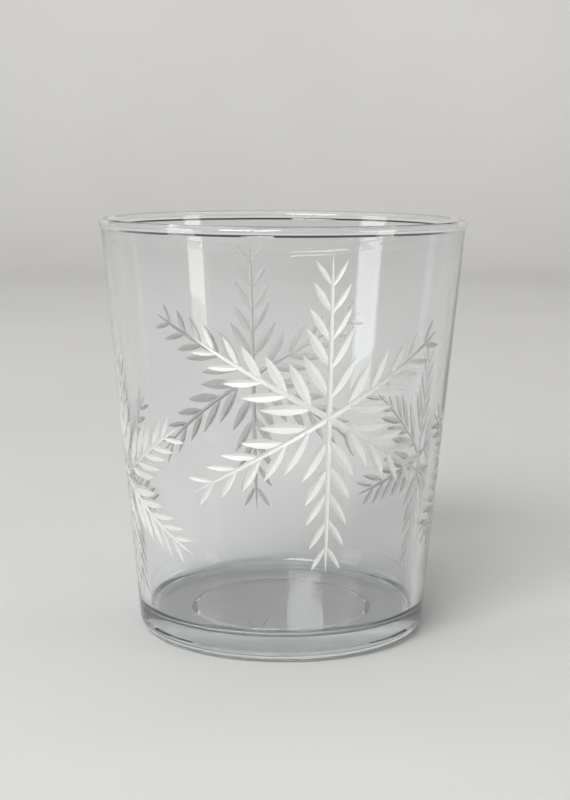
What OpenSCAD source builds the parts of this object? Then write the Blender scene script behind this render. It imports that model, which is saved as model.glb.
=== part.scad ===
// Straight-sided whiskey tumbler in clear glass, with wheel-cut snowflakes round the wall.
// The tumbler is one piece of glass. Its three regions are drawn as separate solids that
// meet face to face: the thick base, the thin tapering wall and the rounded rim.
// The origin is on the table, under the middle of the base. -Y is the front.

/* [Overall] */
// Height from the table to the top of the rim
overall_h = 100; // [80:1:125]
// Outside diameter of the rim, the widest part
rim_d = 88; // [72:1:108]
// Outside diameter of the tapering wall where its line meets the table
foot_d = 69; // [57:1:76]

/* [Wall] */
// Thickness of the wall just under the rim
wall_top_t = 1.5; // [1.3:0.1:2]
// Thickness of the wall where it leaves the base
wall_foot_t = 2.7; // [2:0.1:4]

/* [Rim] */
// Diameter of the bead that fire polishing leaves along the rim
bead_d = 2.6; // [2.1:0.1:3.6]

/* [Base] */
// Thickness of the glass between the table and the floor of the cup
base_t = 6; // [4:0.5:12]
// Radius of the curve between the floor of the cup and the wall
floor_corner_r = 2.5; // [1:0.1:4]
// Radius of the heel, the curve between the wall and the table
heel_r = 3.6; // [1:0.1:5]
// Diameter of the recess that keeps the middle of the base off the table
punt_d = 43; // [20:1:46]
// Depth of the recess
punt_depth = 0.8; // [0.3:0.1:1.5]
// Width of the slope round the edge of the recess
punt_slope_w = 1.2; // [0.4:0.1:2]

/* [Snowflakes] */
// Number of snowflakes round the wall, high and low ones in turn
flake_count = 4; // [2:2:4]
// Turn of the first high snowflake from the front, towards +X
first_flake_turn = 15; // [0:1:90]
// Arms of one snowflake
arm_count = 6; // [4:1:6]
// Clear wall between a high snowflake and the rim bead
high_rim_gap = 3; // [1:0.5:20]
// Clear wall between a high snowflake and the base
high_foot_gap = 12.5; // [1:0.5:20]
// Clear wall between a low snowflake and the rim bead
low_rim_gap = 27.5; // [1:0.5:30]
// Clear wall between a low snowflake and the base
low_foot_gap = 0.6; // [0.4:0.1:20]

/* [Wheel cuts] */
// Width of the long cut along each arm where it leaves the hub
stem_w = 1.2; // [0.6:0.1:1.6]
// Width of the long cut at the tip of the arm
stem_tip_w = 0.5; // [0.3:0.1:0.8]
// Pairs of leaves on each arm
leaf_pairs = 5; // [2:1:5]
// Distance from the middle of the snowflake to the innermost pair
hub_r = 3.2; // [2.8:0.1:3.6]
// Bare end of each arm beyond the outermost pair
arm_tip_len = 7.5; // [4:0.5:10]
// Length of the innermost leaves
inner_leaf_len = 12; // [6:0.5:12]
// Length of the outermost leaves
outer_leaf_len = 7; // [4:0.5:8]
// Width of the innermost leaves
inner_leaf_w = 1.8; // [0.8:0.1:1.8]
// Width of the outermost leaves
outer_leaf_w = 1.1; // [0.6:0.1:1.4]
// Angle between a leaf and its arm
leaf_lean = 32; // [20:1:40]
// Angle between the two faces of every cut
mitre_angle = 110; // [90:5:130]

/* [Hidden] */
$fn = 128;
glass = [0.80, 0.88, 0.92, 0.45];
base_glass = [0.66, 0.80, 0.88, 0.55];
rim_glass = [0.90, 0.94, 0.96, 0.60];
// Straight lengths that make up one stem, and how far they run into each other
stem_steps = 4;
stem_overlap = 0.3;
// Least height of the cutters above the wall, so that each cut opens at its surface
cut_lift = 0.2;

bead_r = bead_d / 2;
bead_mid_r = rim_d / 2 - bead_r;
bead_mid_z = overall_h - bead_r;
// The bead is cut off where it is as wide as the wall, and the wall ends there
neck_z = bead_mid_z - sqrt(bead_r * bead_r - wall_top_t * wall_top_t / 4);
neck_r = bead_mid_r + wall_top_t / 2;
foot_r = foot_d / 2;
wall_lean = atan((neck_r - foot_r) / neck_z);
base_top_z = base_t + floor_corner_r;

// Outer and inner radius of the glass at a height
function outer_r(z) = foot_r + z * tan(wall_lean);
function wall_t(z) = wall_foot_t + (wall_top_t - wall_foot_t) * (z - base_top_z) / (neck_z - base_top_z);
function inner_r(z) = outer_r(z) - wall_t(z);

// The heel's circle touches the table and the outside of the wall
heel_x = foot_r + heel_r * tan(wall_lean) - heel_r / cos(wall_lean);
// The floor corner's circle touches the floor, and meets the wall where the base ends
floor_corner_x = inner_r(base_top_z) - floor_corner_r;

// Fills the corner at `tip` between two lines that touch the circle at `a` and `b`
module corner_fill(middle, r, a, tip, b) {
    difference() {
        polygon([middle, a, tip, b]);
        translate(middle) circle(r);
    }
}

module base_section() {
    difference() {
        polygon([[0, 0], [foot_r, 0], [outer_r(base_top_z), base_top_z],
                 [inner_r(base_top_z), base_top_z], [floor_corner_x, base_top_z],
                 [floor_corner_x, base_t], [0, base_t]]);
        corner_fill([heel_x, heel_r], heel_r, [heel_x, 0], [foot_r, 0],
                    [heel_x + heel_r * cos(wall_lean), heel_r - heel_r * sin(wall_lean)]);
        translate([floor_corner_x, base_top_z]) circle(floor_corner_r);
    }
}

module base() {
    color(base_glass) difference() {
        rotate_extrude() base_section();
        cylinder(h = punt_depth, r1 = punt_d / 2 + punt_slope_w / 2, r2 = punt_d / 2 - punt_slope_w / 2);
    }
}

module rim_bead() {
    color(rim_glass) rotate_extrude() difference() {
        translate([bead_mid_r, bead_mid_z]) circle(bead_r);
        translate([bead_mid_r - bead_d, neck_z - bead_d]) square([2 * bead_d, bead_d]);
    }
}

// The V-edged wheel's cuts run along Z with their ridge towards -Y. The cutters below stand
// proud of the wall by cut_lift, so that each cut's outline is where they cross its surface.
function cut_depth(w) = w / 2 / tan(mitre_angle / 2);
function proud_half_w(w) = (cut_depth(w) + cut_lift) * tan(mitre_angle / 2);

// Cuts a leaf `len` long and `w` wide, pointed at both ends, where the wall curves away from
// the cutter by wall_curve: the cutter is longer than the leaf by what the curve takes off
module leaf_cutter(len, w, wall_curve) {
    depth = cut_depth(w);
    half_len = (depth + cut_lift) * len / 2 / (depth - wall_curve * len * len / 8);
    side = proud_half_w(w);
    polyhedron([[0, cut_lift, -half_len], [side, cut_lift, 0], [0, cut_lift, half_len],
                [-side, cut_lift, 0], [0, -depth, 0]],
               [[0, 1, 2, 3], [1, 0, 4], [2, 1, 4], [3, 2, 4], [0, 3, 4]]);
}

// Cuts one length of a stem, from w1 wide at its lower end to w2 wide at its upper end
module stem_cutter(len, w1, w2) {
    side1 = proud_half_w(w1);
    side2 = proud_half_w(w2);
    polyhedron([[-side1, cut_lift, -len / 2], [side1, cut_lift, -len / 2], [0, -cut_depth(w1), -len / 2],
                [-side2, cut_lift, len / 2], [side2, cut_lift, len / 2], [0, -cut_depth(w2), len / 2]],
               [[2, 1, 0], [3, 4, 5], [1, 4, 3, 0], [2, 5, 4, 1], [0, 3, 5, 2]]);
}

// Puts a cutter on the wall, leaning by `angle`, where the wall is flattened out round
// (turn, z) and the cutter's middle is `across` and `up` from there
module on_wall(turn, z, across, up, angle) {
    at_z = z + up * cos(wall_lean);
    at_r = outer_r(at_z);
    rotate([0, 0, turn + across / at_r * 180 / PI]) translate([0, -at_r, at_z])
        rotate([-wall_lean, 0, 0]) rotate([0, angle, 0]) rotate([0, 0, 180]) children();
}

// A stem tapers from the hub to the tip in short straight lengths that follow the wall
module stem(turn, z, angle, arm_len) {
    step = arm_len / stem_steps;
    for (i = [0 : stem_steps - 1]) {
        mid = (i + 0.5) * step;
        on_wall(turn, z, mid * sin(angle), mid * cos(angle), angle)
            stem_cutter(step + stem_overlap, stem_w + (stem_tip_w - stem_w) * i / stem_steps,
                        stem_w + (stem_tip_w - stem_w) * (i + 1) / stem_steps);
    }
}

module leaf(turn, z, angle, root, lean, len, w) {
    across = root * sin(angle) + len / 2 * sin(lean);
    up = root * cos(angle) + len / 2 * cos(lean);
    on_wall(turn, z, across, up, lean)
        leaf_cutter(len, w, sin(lean) * sin(lean) / outer_r(z));
}

module snowflake(turn, z, arm_len) {
    pitch = (arm_len - arm_tip_len - hub_r) / (leaf_pairs - 1);
    for (arm = [0 : arm_count - 1]) {
        angle = 360 / arm_count * arm;
        stem(turn, z, angle, arm_len);
        for (i = [0 : leaf_pairs - 1], side = [-1, 1]) {
            share = i / (leaf_pairs - 1);
            leaf(turn, z, angle, hub_r + i * pitch, angle + side * leaf_lean,
                 inner_leaf_len + (outer_leaf_len - inner_leaf_len) * share,
                 inner_leaf_w + (outer_leaf_w - inner_leaf_w) * share);
        }
    }
}

// The snowflakes fill the wall's height less their clear gaps
module snowflakes() {
    for (i = [0 : flake_count - 1]) {
        high = i % 2 == 0;
        top = neck_z - (high ? high_rim_gap : low_rim_gap);
        foot = base_top_z + (high ? high_foot_gap : low_foot_gap);
        snowflake(first_flake_turn + i * 360 / flake_count, (top + foot) / 2,
                  (top - foot) / 2 / cos(wall_lean));
    }
}

module side_wall() {
    color(glass) difference() {
        rotate_extrude() polygon([[inner_r(base_top_z), base_top_z], [outer_r(base_top_z), base_top_z],
                                  [neck_r, neck_z], [neck_r - wall_top_t, neck_z]]);
        snowflakes();
    }
}

base();
side_wall();
rim_bead();
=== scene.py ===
"""A clear glass whiskey tumbler with wheel-cut snowflakes, on a pale studio floor.

The glass is one closed mesh in metres: rings of revolution for the rim, the inside, the base
and the heel, and a triangulated outer wall whose V-shaped cuts are real grooves.
"""
import math
import random

import bpy
import numpy as np
from mathutils import Matrix, Vector
from mathutils.geometry import delaunay_2d_cdt


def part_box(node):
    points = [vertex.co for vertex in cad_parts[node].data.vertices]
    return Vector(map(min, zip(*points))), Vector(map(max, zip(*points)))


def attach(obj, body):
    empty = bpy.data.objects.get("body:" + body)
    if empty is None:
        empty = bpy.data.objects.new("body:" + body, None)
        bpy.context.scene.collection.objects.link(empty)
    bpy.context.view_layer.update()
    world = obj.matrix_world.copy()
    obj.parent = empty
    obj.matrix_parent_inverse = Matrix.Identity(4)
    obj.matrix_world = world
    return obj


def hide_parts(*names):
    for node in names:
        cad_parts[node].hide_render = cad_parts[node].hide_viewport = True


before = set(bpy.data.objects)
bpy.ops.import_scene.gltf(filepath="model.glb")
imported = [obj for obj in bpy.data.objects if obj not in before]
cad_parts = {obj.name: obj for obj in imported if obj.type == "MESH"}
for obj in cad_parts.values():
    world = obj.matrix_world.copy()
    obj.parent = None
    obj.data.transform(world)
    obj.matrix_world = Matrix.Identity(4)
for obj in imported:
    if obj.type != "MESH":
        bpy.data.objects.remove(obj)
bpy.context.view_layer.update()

MM = 0.001

# ---------------------------------------------------------------- sizes of the glass
_, BASE_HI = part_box("base")
_, WALL_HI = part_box("side_wall")
_, RIM_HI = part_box("rim_bead")
BASE_TOP_Z, BASE_TOP_R = BASE_HI[2], BASE_HI[0]
NECK_Z, NECK_R = WALL_HI[2], WALL_HI[0]
RIM_Z, RIM_R = RIM_HI[2], RIM_HI[0]
WALL_SLOPE = (NECK_R - BASE_TOP_R) / (NECK_Z - BASE_TOP_Z)
WALL_LEAN = math.atan(WALL_SLOPE)

BEAD_R = 1.3 * MM
WALL_TOP_T = 1.5 * MM
WALL_FOOT_T = 2.7 * MM
FLOOR_Z = 6.0 * MM
HEEL_R = 3.6 * MM
PUNT_R = 21.5 * MM
PUNT_DEPTH = 0.8 * MM
PUNT_SLOPE_W = 1.2 * MM

# ---------------------------------------------------------------- the cut snowflakes
COLUMNS = 240                      # points round the glass
STEP = 2 * math.pi / COLUMNS
FLAKE_TURN = math.radians(15)      # the high flake at the front, towards +X
HIGH_GAPS = (3.0 * MM, 12.5 * MM)  # clear wall above and below a high flake
LOW_GAPS = (27.5 * MM, 0.6 * MM)
ARMS = 6
LEAF_PAIRS = 5
HUB_R = 4.6 * MM
ARM_TIP_LEN = 7.5 * MM
LEAF_LEN = (12.0 * MM, 7.0 * MM)   # innermost and outermost
LEAF_W = (2.6 * MM, 1.2 * MM)
LEAF_LEAN = math.radians(32)
STEM_W = (1.4 * MM, 0.8 * MM)      # at the hub and at the tip
LEAF_MITRE = math.tan(math.radians(120) / 2)  # half width of a cut over its depth
STEM_MITRE = math.tan(math.radians(110) / 2)
# each flake's middle column and the columns of its borders from there, whether it is a high
# one, how many millimetres it sits above its place, and its seed
FLAKES = ((0, -32, 32, True, 0.0, 3), (60, -28, 27, False, 0.3, 8),
          (118, -31, 34, True, -2.0, 5), (181, -29, 27, False, -0.2, 11))
FLAT = 39.0 * MM                   # radius at which the wall is flattened for the triangulation
ROW_H = 3.0 * MM                   # height of a row of the grid between the cuts
GRID_GAP = 0.3 * MM                # clear glass between the grid's points and the cuts
STEM_POINTS, LEAF_POINTS = 16, 10  # lengths along one outline
FINEST_DEPTH = 0.002 * MM          # anything shallower is left uncut
GLASS_IOR = 1.52
SPREAD_ARM = math.radians(0.8)     # how far the hand-held cuts stray
SPREAD_ROOT = 0.4 * MM


def outer_r(z):
    return BASE_TOP_R + (z - BASE_TOP_Z) * WALL_SLOPE


def wall_axes(turns):
    """Across, up and outward at places on the wall, as rows."""
    sin, cos = np.sin(turns), np.cos(turns)
    zero = np.zeros_like(sin)
    across = np.stack((cos, sin, zero), -1)
    out = np.stack((sin * math.cos(WALL_LEAN), -cos * math.cos(WALL_LEAN),
                    zero - math.sin(WALL_LEAN)), -1)
    return across, np.cross(out, across), out


class Cuts:
    """The wheel's strokes on the flattened wall round a flake's middle, one row each."""

    def __init__(self):
        self.rows = []

    def add(self, start, angle, length, width, tip_width, stem):
        self.rows.append((*start, math.sin(angle), math.cos(angle), length, width, tip_width, stem))

    def freeze(self):
        data = np.array(self.rows).T[:, :, None]
        self.start, self.way = data[0:2], data[2:4]
        self.length, self.width, self.tip_width, self.stem = data[4], data[5], data[6], data[7]
        self.mitre = np.where(self.stem > 0, STEM_MITRE, LEAF_MITRE)

    def local(self, places):
        """Distance along each stroke and to its right."""
        x = places[..., 0] - self.start[0]
        y = places[..., 1] - self.start[1]
        wx, wy = self.way
        return x * wx + y * wy, x * wy - y * wx

    def half_width(self, s, rows=slice(None)):
        """Half the width at a distance along each stroke, and its slope."""
        length, width, tip = self.length[rows], self.width[rows], self.tip_width[rows]
        x = np.clip(s / length, 0, 1)
        even, fade = (width + (tip - width) * x) / 2, 1 - x ** 8
        stem = (even * fade, (tip - width) / 2 * fade - even * 8 * x ** 7)
        leaf = (width * 2 * x * (1 - x), width * 2 * (1 - 2 * x))
        is_stem = self.stem[rows] > 0
        return np.where(is_stem, stem[0], leaf[0]), np.where(is_stem, stem[1], leaf[1]) / length

    def depths(self, places, margin=0.0):
        s, t = self.local(places)
        deep = (self.half_width(s)[0] + margin - np.abs(t)) / self.mitre
        return np.where((s < -margin) | (s > self.length + margin), -1.0, deep)

    def outlines(self):
        """Points down each ridge and along both edges."""
        for row in range(len(self.rows)):
            stem = self.stem[row, 0] > 0
            count = STEM_POINTS if stem else LEAF_POINTS
            shares = [(1 - math.cos(math.pi * i / count)) / 2 for i in range(count + 1)]
            if stem:
                shares = [i / count for i in range(count)] + [0.97, 1.0]
            s = np.array(shares) * self.length[row, 0]
            half = self.half_width(s, row)[0]
            start, way = self.start[:, row, 0], self.way[:, row, 0]
            ridge = start + s[:, None] * way
            right = np.array((way[1], -way[0]))
            yield ridge
            yield ridge - half[:, None] * right
            yield ridge + half[:, None] * right


def between(ends, share):
    return ends[0] + (ends[1] - ends[0]) * share


def flake_cuts(arm_len, seed):
    """The strokes of one flake: a stem and pairs of leaves on each arm, cut by hand."""
    rng = random.Random(seed)
    cuts = Cuts()
    pitch = (arm_len - ARM_TIP_LEN - HUB_R) / (LEAF_PAIRS - 1)
    for arm in range(ARMS):
        angle = 2 * math.pi * arm / ARMS + rng.uniform(-SPREAD_ARM, SPREAD_ARM)
        cuts.add((0, 0), angle, arm_len * rng.uniform(0.98, 1.0), *STEM_W, 1)
        for pair in range(LEAF_PAIRS):
            share = pair / (LEAF_PAIRS - 1)
            for side in (-1, 1):
                root = HUB_R + pair * pitch + rng.uniform(-SPREAD_ROOT, SPREAD_ROOT)
                lean = angle + side * (LEAF_LEAN + math.radians(rng.uniform(-3.0, 2.0)))
                leaf_len = between(LEAF_LEN, share) * rng.uniform(0.93, 1.0)
                leaf_w = between(LEAF_W, share) * rng.uniform(0.90, 1.04)
                start = (root * math.sin(angle), root * math.cos(angle))
                cuts.add(start, lean, leaf_len, leaf_w, 0, 0)
    cuts.freeze()
    return cuts


# ---------------------------------------------------------------- mesh building
CLEAR, GROUND, WORN, THICK = 0, 1, 2, 3  # material slots


class Mesh:
    """Collects points, faces, and for each face corner a normal and a UV."""

    def __init__(self):
        self.points, self.index = [], {}
        self.faces, self.normals, self.uvs, self.materials = [], [], [], []

    def point(self, p):
        key = (round(p[0] * 1e7), round(p[1] * 1e7), round(p[2] * 1e7))
        if key not in self.index:
            self.index[key] = len(self.points)
            self.points.append(tuple(p))
        return self.index[key]

    def face(self, corners, normals, uvs, material=CLEAR):
        ids = [self.point(c) for c in corners]
        keep = [i for i in range(len(ids)) if ids[i] != ids[i - 1]]
        if len(keep) < 3 or len(set(ids[i] for i in keep)) < len(keep):
            return
        self.faces.append([ids[i] for i in keep])
        self.normals += [normals[i] for i in keep]
        self.uvs += [uvs[i] for i in keep]
        self.materials.append(material)

    def build(self, name, materials):
        data = bpy.data.meshes.new(name)
        data.from_pydata(self.points, [], self.faces)
        for m in materials:
            data.materials.append(m)
        data.polygons.foreach_set("material_index", self.materials)
        data.polygons.foreach_set("use_smooth", [True] * len(self.faces))
        layer = data.uv_layers.new(name="strokes")
        layer.data.foreach_set("uv", [c for uv in self.uvs for c in uv])
        data.normals_split_custom_set(self.normals)
        obj = bpy.data.objects.new(name, data)
        bpy.context.scene.collection.objects.link(obj)
        return obj


def border_shift(z):
    """How many columns the line between two cells leans away from the high flake."""
    if not BASE_TOP_Z + ROW_H / 2 < z < NECK_Z - ROW_H / 2:
        return 0.0
    return 2.2 * (math.exp(-((z / MM - 42) / 8) ** 2) - math.exp(-((z / MM - 25) / 8) ** 2))


def cut_wall(mesh, middle_col, left, right, high, middle_z, cuts):
    """The outer wall between two borders, triangulated round the cuts of one flake."""
    turn = FLAKE_TURN + middle_col * STEP

    def to_flat(places):
        z = middle_z + places[:, 1] * math.cos(WALL_LEAN)
        return np.stack((places[:, 0] / outer_r(z) * FLAT, z), -1) / MM

    def from_flat(flat):
        angle, z = flat[:, 0] * MM / FLAT, flat[:, 1] * MM
        return angle, z, np.stack((angle * outer_r(z), (z - middle_z) / math.cos(WALL_LEAN)), -1)

    rows = round((NECK_Z - BASE_TOP_Z) / ROW_H)
    levels = [BASE_TOP_Z + (NECK_Z - BASE_TOP_Z) * i / rows for i in range(rows + 1)]
    way = 1 if high else -1
    points, edges = [], []

    def chain(places):
        first = len(points)
        points.extend((float(x), float(y)) for x, y in places)
        edges.extend((i, i + 1) for i in range(first, len(points) - 1))

    def column_x(column):
        return column * STEP * FLAT / MM

    for z in (levels[0], levels[-1]):
        chain([(column_x(c), z / MM) for c in range(left, right + 1)])
    chain([(column_x(left - way * border_shift(z)), z / MM) for z in levels])
    chain([(column_x(right + way * border_shift(z)), z / MM) for z in levels])
    for line in cuts.outlines():
        chain(to_flat(line))
    grid = np.array([(column_x(c), z / MM) for c in range(left + 3, right - 2)
                     for z in levels[1:-1]])
    clear = cuts.depths(from_flat(grid)[2], GRID_GAP).max(0) < 0
    points.extend((float(x), float(y)) for x, y in grid[clear])
    # the triangulation rounds its points, so the points that went in are taken back
    made, _, triangles, sources, _, _ = delaunay_2d_cdt([Vector(p) for p in points], edges, [],
                                                        1, 1e-5)
    flat = np.array([points[source[0]] if source else tuple(p)
                     for p, source in zip(made, sources)])
    triangles = np.array([list(t) for t in triangles])

    angle, z, places = from_flat(flat)
    depth = cuts.depths(places).max(0)
    depth[depth < FINEST_DEPTH] = 0.0
    middles = places[triangles].mean(1)
    at_middle = cuts.depths(middles)
    best = at_middle.argmax(0)
    ground = (at_middle.max(0) > 1e-6) & (depth[triangles] > 0).any(1)
    side = np.sign(row_local(cuts, middles, best)[1])
    across, up, out = wall_axes(turn + angle)
    r = outer_r(z)
    surface = np.stack((r * np.sin(turn + angle), -r * np.cos(turn + angle), z), -1)
    surface -= out * depth[:, None]

    normals = out[triangles]
    uvs = np.stack((angle, z), -1)[triangles]
    for corner in range(3):
        ids = triangles[:, corner]
        s, off = row_local(cuts, places[ids], best)
        slope = row_half_width(cuts, s, best)[1]
        wx, wy = cuts.way[0][best, 0], cuts.way[1][best, 0]
        along = across[ids] * wx[:, None] + up[ids] * wy[:, None]
        to_right = across[ids] * wy[:, None] - up[ids] * wx[:, None]
        tilt = (along * slope[:, None] - to_right * side[:, None]) / cuts.mitre[best]
        normal = out[ids] + tilt
        normal /= np.linalg.norm(normal, axis=1)[:, None]
        normals[ground, corner] = normal[ground]
        stroke = np.stack((s + best * 0.013, off + best * 0.0037), -1)
        uvs[ground, corner] = stroke[ground]
    points_list, normal_list, uv_list = surface.tolist(), normals.tolist(), uvs.tolist()
    for i, t in enumerate(triangles.tolist()):
        mesh.face([points_list[k] for k in t], normal_list[i], uv_list[i],
                  GROUND if ground[i] else CLEAR)


def row_local(cuts, places, best):
    """Distance along and to the right, of each place on its own stroke."""
    x = places[:, 0] - cuts.start[0][best, 0]
    y = places[:, 1] - cuts.start[1][best, 0]
    wx, wy = cuts.way[0][best, 0], cuts.way[1][best, 0]
    return x * wx + y * wy, x * wy - y * wx


def row_half_width(cuts, s, best):
    """Half the width and its slope, of each distance on its own stroke."""
    half, slope = cuts.half_width(s[:, None], best)
    return half[:, 0], slope[:, 0]


def arc(middle, r, start, end, count, inward=False):
    """Profile points (radius, height, normal) from one angle to another."""
    sign = -1 if inward else 1
    turns = [math.radians(start + (end - start) * i / count) for i in range(count + 1)]
    return [(middle[0] + r * math.cos(a), middle[1] + r * math.sin(a),
             sign * math.cos(a), sign * math.sin(a)) for a in turns]


def straight(a, b, count, normal):
    return [(a[0] + (b[0] - a[0]) * i / count, a[1] + (b[1] - a[1]) * i / count, *normal)
            for i in range(count + 1)]


def ripple(turns, z):
    """How far the pressed inner surface wanders: soft rings near the rim and long waves."""
    rings = 0.010 * math.sin(z / (0.55 * MM)) * math.exp(-((RIM_Z - z - 5.0 * MM) / (3.0 * MM)) ** 2)
    waves = 0.030 * np.sin(3 * turns + z / (19 * MM)) * math.sin(z / (23 * MM) + 1.0)
    waves = waves + 0.014 * np.sin(7 * turns + 2.0 - z / (31 * MM))
    fade = min(1.0, (NECK_Z - z) / (2 * MM), (z - BASE_TOP_Z) / (6 * MM))
    return (rings + waves) * MM * max(0.0, fade)


def revolve(mesh, profile, wander=None, material=CLEAR):
    """Rings of faces along a profile that runs with the glass on its left."""
    turns = FLAKE_TURN + np.arange(COLUMNS) * STEP
    sin, cos, zero = np.sin(turns), np.cos(turns), np.zeros(COLUMNS)
    across = np.stack((cos, sin, zero), -1)
    rows = []
    for r, z, nr, nz in profile:
        radius = r + (wander(turns, z) if wander else zero)
        places = np.stack((radius * sin, -radius * cos, zero + z), -1)
        normals = np.stack((nr * sin, -nr * cos, zero + nz), -1)
        if wander:
            h = 0.05 * MM
            slope_z = (wander(turns, z + h) - wander(turns, z - h)) / (2 * h)
            slope_t = (wander(turns + h / r, z) - wander(turns - h / r, z)) / (2 * h)
            uphill = slope_t[:, None] * across + slope_z[:, None] * np.array((0, 0, 1.0))
            normals = normals - nr * uphill
            normals /= np.linalg.norm(normals, axis=1)[:, None]
        rows.append((places.tolist(), normals.tolist(), [(t, z + r) for t in turns.tolist()]))
    for low, high in zip(rows, rows[1:]):
        for c in range(COLUMNS):
            d = (c + 1) % COLUMNS
            corners = [(low, c), (low, d), (high, d), (high, c)]
            mesh.face(*([ring[kind][i] for ring, i in corners] for kind in range(3)), material)


def glass_mesh():
    mesh = Mesh()
    for middle, left, right, high, lift, seed in FLAKES:
        gaps = HIGH_GAPS if high else LOW_GAPS
        top, foot = NECK_Z - gaps[0], BASE_TOP_Z + gaps[1]
        arm_len = (top - foot) / 2 / math.cos(WALL_LEAN)
        cut_wall(mesh, middle, left, right, high, (top + foot) / 2 + lift * MM,
                 flake_cuts(arm_len, seed))

    # the rim bead, from the outside of the neck over the top to the inside, within the CAD's box
    bead_x, bead_z = NECK_R - WALL_TOP_T / 2, RIM_Z - BEAD_R
    neck_angle = math.degrees(math.acos(WALL_TOP_T / 2 / BEAD_R))
    bead = arc((bead_x, bead_z), BEAD_R, -neck_angle, 180 + neck_angle, 28)
    revolve(mesh, [(min(r, RIM_R), *rest) for r, *rest in bead])

    # the inside of the wall, down to the floor
    neck_in = (NECK_R - WALL_TOP_T, NECK_Z)
    corner_r = BASE_TOP_Z - FLOOR_Z
    foot_in = (BASE_TOP_R - WALL_FOOT_T, BASE_TOP_Z)
    in_lean = math.atan2(neck_in[0] - foot_in[0], neck_in[1] - foot_in[1])
    revolve(mesh, straight(neck_in, foot_in, 150, (-math.cos(in_lean), math.sin(in_lean))), ripple)
    corner_x = foot_in[0] - corner_r
    revolve(mesh, arc((corner_x, BASE_TOP_Z), corner_r, 0, -90, 12, inward=True), material=THICK)
    revolve(mesh, straight((corner_x, FLOOR_Z), (0.0, FLOOR_Z), 24, (0.0, 1.0)))

    # the outside of the base: up from the recess, along the rest ring and round the heel
    foot_r = outer_r(0.0)
    heel_x = foot_r + HEEL_R * math.tan(WALL_LEAN) - HEEL_R / math.cos(WALL_LEAN)
    heel = arc((heel_x, HEEL_R), HEEL_R, -90, -math.degrees(WALL_LEAN), 14)
    revolve(mesh, heel + [(BASE_TOP_R, BASE_TOP_Z, math.cos(WALL_LEAN), -math.sin(WALL_LEAN))],
            material=THICK)
    slope_out, slope_in = PUNT_R + PUNT_SLOPE_W / 2, PUNT_R - PUNT_SLOPE_W / 2
    tilt = math.atan2(PUNT_DEPTH, PUNT_SLOPE_W)
    revolve(mesh, straight((slope_out, 0.0), (heel_x, 0.0), 6, (0.0, -1.0)), material=WORN)
    revolve(mesh, straight((slope_in, PUNT_DEPTH), (slope_out, 0.0), 3,
                           (-math.sin(tilt), -math.cos(tilt))))
    revolve(mesh, straight((0.0, PUNT_DEPTH), (slope_in, PUNT_DEPTH), 16, (0.0, -1.0)),
            material=WORN)
    return mesh


# ---------------------------------------------------------------- materials
def new_material(name):
    material = bpy.data.materials.new(name)
    material.use_nodes = True
    tree = material.node_tree
    return material, tree, tree.nodes["Principled BSDF"]


def link(tree, a, b):
    tree.links.new(a, b)


def noise(tree, vector, scale, detail=2.0, rough=0.5):
    node = tree.nodes.new("ShaderNodeTexNoise")
    node.inputs["Scale"].default_value = scale
    node.inputs["Detail"].default_value = detail
    node.inputs["Roughness"].default_value = rough
    link(tree, vector, node.inputs["Vector"])
    return node.outputs["Fac"]


def ramp(tree, value, stops):
    node = tree.nodes.new("ShaderNodeValToRGB")
    elements = node.color_ramp.elements
    while len(elements) < len(stops):
        elements.new(0.5)
    for element, (place, colour) in zip(elements, stops):
        element.position, element.color = place, colour
    link(tree, value, node.inputs["Fac"])
    return node.outputs["Color"]


def grey(v):
    return (v, v, v, 1.0)


def clear_glass(name, colour):
    """Polished glass with faint smears."""
    material, tree, shader = new_material(name)
    shader.inputs["Transmission Weight"].default_value = 1.0
    shader.inputs["IOR"].default_value = GLASS_IOR
    shader.inputs["Base Color"].default_value = colour
    where = tree.nodes.new("ShaderNodeTexCoord").outputs["Object"]
    smears = noise(tree, where, 90, 4.0, 0.65)
    link(tree, ramp(tree, smears, ((0.50, grey(0.0)), (0.80, grey(0.045)))), shader.inputs["Roughness"])
    return material


def worn_glass():
    """The underside, hazy from the mould and scratched from standing on tables."""
    material, tree, shader = new_material("worn_glass")
    shader.inputs["Transmission Weight"].default_value = 0.85
    shader.inputs["IOR"].default_value = GLASS_IOR
    where = tree.nodes.new("ShaderNodeTexCoord").outputs["Object"]
    turned = tree.nodes.new("ShaderNodeMapping")
    turned.inputs["Rotation"].default_value = (0, 0, 0.7)
    turned.inputs["Scale"].default_value = (4000, 160, 1)
    link(tree, where, turned.inputs["Vector"])
    scratches = noise(tree, turned.outputs["Vector"], 1.0, 2.0, 0.6)
    haze = noise(tree, where, 70, 4.0, 0.6)
    both = tree.nodes.new("ShaderNodeMath")
    both.operation = "MULTIPLY_ADD"
    link(tree, scratches, both.inputs[0])
    both.inputs[1].default_value = 0.5
    link(tree, haze, both.inputs[2])
    link(tree, ramp(tree, both.outputs["Value"], ((0.55, grey(0.14)), (1.0, grey(0.24)))),
         shader.inputs["Roughness"])
    bump = tree.nodes.new("ShaderNodeBump")
    bump.inputs["Strength"].default_value = 0.3
    bump.inputs["Distance"].default_value = 0.00003
    link(tree, both.outputs["Value"], bump.inputs["Height"])
    link(tree, bump.outputs["Normal"], shader.inputs["Normal"])
    return material


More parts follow.
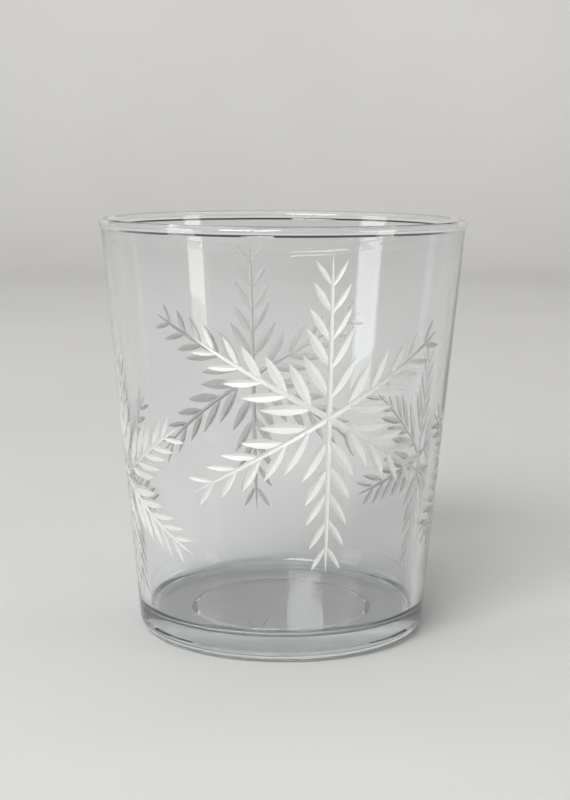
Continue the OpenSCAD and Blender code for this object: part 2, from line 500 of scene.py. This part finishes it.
def ground_glass():
    """The unpolished faces that the cutting wheel leaves, with its fine lines along each stroke."""
    material, tree, shader = new_material("ground_glass")
    shader.inputs["Transmission Weight"].default_value = 0.5
    shader.inputs["IOR"].default_value = GLASS_IOR
    coords = tree.nodes.new("ShaderNodeTexCoord")
    stretch = tree.nodes.new("ShaderNodeMapping")
    stretch.inputs["Scale"].default_value = (300, 9000, 1)
    link(tree, coords.outputs["UV"], stretch.inputs["Vector"])
    lines = noise(tree, stretch.outputs["Vector"], 1.0, 3.0, 0.6)
    grit = noise(tree, coords.outputs["Object"], 5200, 2.0, 0.6)
    link(tree, ramp(tree, lines, ((0.3, grey(0.36)), (0.7, grey(0.55)))), shader.inputs["Roughness"])
    link(tree, ramp(tree, grit, ((0.3, (0.88, 0.87, 0.85, 1)), (0.7, (0.99, 0.98, 0.96, 1)))),
         shader.inputs["Base Color"])
    bump = tree.nodes.new("ShaderNodeBump")
    bump.inputs["Strength"].default_value = 0.35
    bump.inputs["Distance"].default_value = 0.00003
    link(tree, lines, bump.inputs["Height"])
    link(tree, bump.outputs["Normal"], shader.inputs["Normal"])
    return material


# ---------------------------------------------------------------- the studio
def studio_paint():
    material, tree, shader = new_material("studio_paint")
    shader.inputs["Roughness"].default_value = 0.75
    where = tree.nodes.new("ShaderNodeTexCoord").outputs["Object"]
    link(tree, ramp(tree, noise(tree, where, 6, 3.0), ((0.3, (0.66, 0.655, 0.645, 1)),
                                                       (0.7, (0.69, 0.685, 0.675, 1)))),
         shader.inputs["Base Color"])
    return material


def studio():
    """A round floor that curves up into a low wall on every side."""
    floor_r, bend_r, wall_h = 1.1, 0.35, 0.55
    profile = [(0.0, 0.0), (0.2, 0.0), (0.6, 0.0)]
    profile += [(floor_r + bend_r * math.sin(a), bend_r * (1 - math.cos(a)))
                for a in (math.radians(6 * i) for i in range(16))]
    profile.append((floor_r + bend_r, wall_h))
    points, faces, around = [], [], 96
    for r, z in profile:
        for c in range(around):
            a = 2 * math.pi * c / around
            points.append((r * math.cos(a), r * math.sin(a), z - 0.02 * MM))
    for i in range(len(profile) - 1):
        for c in range(around):
            d = (c + 1) % around
            faces.append([i * around + c, i * around + d, (i + 1) * around + d, (i + 1) * around + c])
    data = bpy.data.meshes.new("studio_floor")
    data.from_pydata(points, [], faces)
    data.polygons.foreach_set("use_smooth", [True] * len(faces))
    data.materials.append(studio_paint())
    obj = bpy.data.objects.new("studio_floor", data)
    bpy.context.scene.collection.objects.link(obj)


def soft_light(name, place, target, size, power, colour):
    light = bpy.data.lights.new(name, "AREA")
    light.shape, light.size, light.size_y = "RECTANGLE", size[0], size[1]
    light.energy, light.color = power, colour
    obj = bpy.data.objects.new(name, light)
    bpy.context.scene.collection.objects.link(obj)
    obj.location = place
    obj.rotation_mode = "QUATERNION"
    obj.rotation_quaternion = (Vector(target) - Vector(place)).to_track_quat("-Z", "Y")


def lights():
    middle = (0, 0, 0.05)
    soft_light("overhead", (0.0, 0.15, 1.35), middle, (1.2, 1.0), 4.5, (1.0, 0.99, 0.97))
    soft_light("key", (-0.40, -0.95, 0.80), middle, (0.7, 0.6), 15.0, (1.0, 1.0, 1.0))
    soft_light("backdrop", (0.0, 0.4, 1.0), (0.0, 1.45, 0.25), (1.4, 0.3), 6.0, (1.0, 0.99, 0.98))
    soft_light("left_strip", (-0.8, -0.35, 0.30), (0, 0, 0.1), (0.30, 0.5), 1.6, (0.95, 0.98, 1.0))
    soft_light("right_strip", (0.8, -0.35, 0.30), (0, 0, 0.1), (0.20, 0.4), 0.9, (1.0, 0.96, 0.90))
    world = bpy.data.worlds.new("room")
    world.use_nodes = True
    world.node_tree.nodes["Background"].inputs["Color"].default_value = (0.9, 0.95, 1.0, 1)
    world.node_tree.nodes["Background"].inputs["Strength"].default_value = 0.06
    bpy.context.scene.world = world
    bpy.context.scene.view_settings.view_transform = "Standard"


# ---------------------------------------------------------------- the camera
def camera():
    """At arm's length, a little above the rim, looking slightly down at the glass."""
    distance, height = 0.391, 0.1173
    pitch, yaw, roll = math.radians(8.94), math.radians(0.1), math.radians(0.31)
    data = bpy.data.cameras.new("camera")
    data.lens, data.sensor_width = 73.06, 36.0
    data.clip_start, data.clip_end = 0.01, 20.0
    obj = bpy.data.objects.new("camera", data)
    bpy.context.scene.collection.objects.link(obj)
    ahead = Vector((math.sin(yaw) * math.cos(pitch), math.cos(yaw) * math.cos(pitch), -math.sin(pitch)))
    level = Vector((math.cos(yaw), -math.sin(yaw), 0))
    above = level.cross(ahead)
    right = level * math.cos(roll) + above * math.sin(roll)
    up = above * math.cos(roll) - level * math.sin(roll)
    turn = Matrix((right, up, -ahead)).transposed()
    obj.matrix_world = Matrix.Translation((0, -distance, height)) @ turn.to_4x4()
    bpy.context.scene.camera = obj


camera()
lights()
studio()
glass = glass_mesh().build("tumbler_glass", [
    clear_glass("clear_glass", (0.985, 0.993, 0.997, 1)), ground_glass(), worn_glass(),
    clear_glass("base_glass", (0.93, 0.97, 0.99, 1))])
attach(glass, "root")
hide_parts("base", "side_wall", "rim_bead")
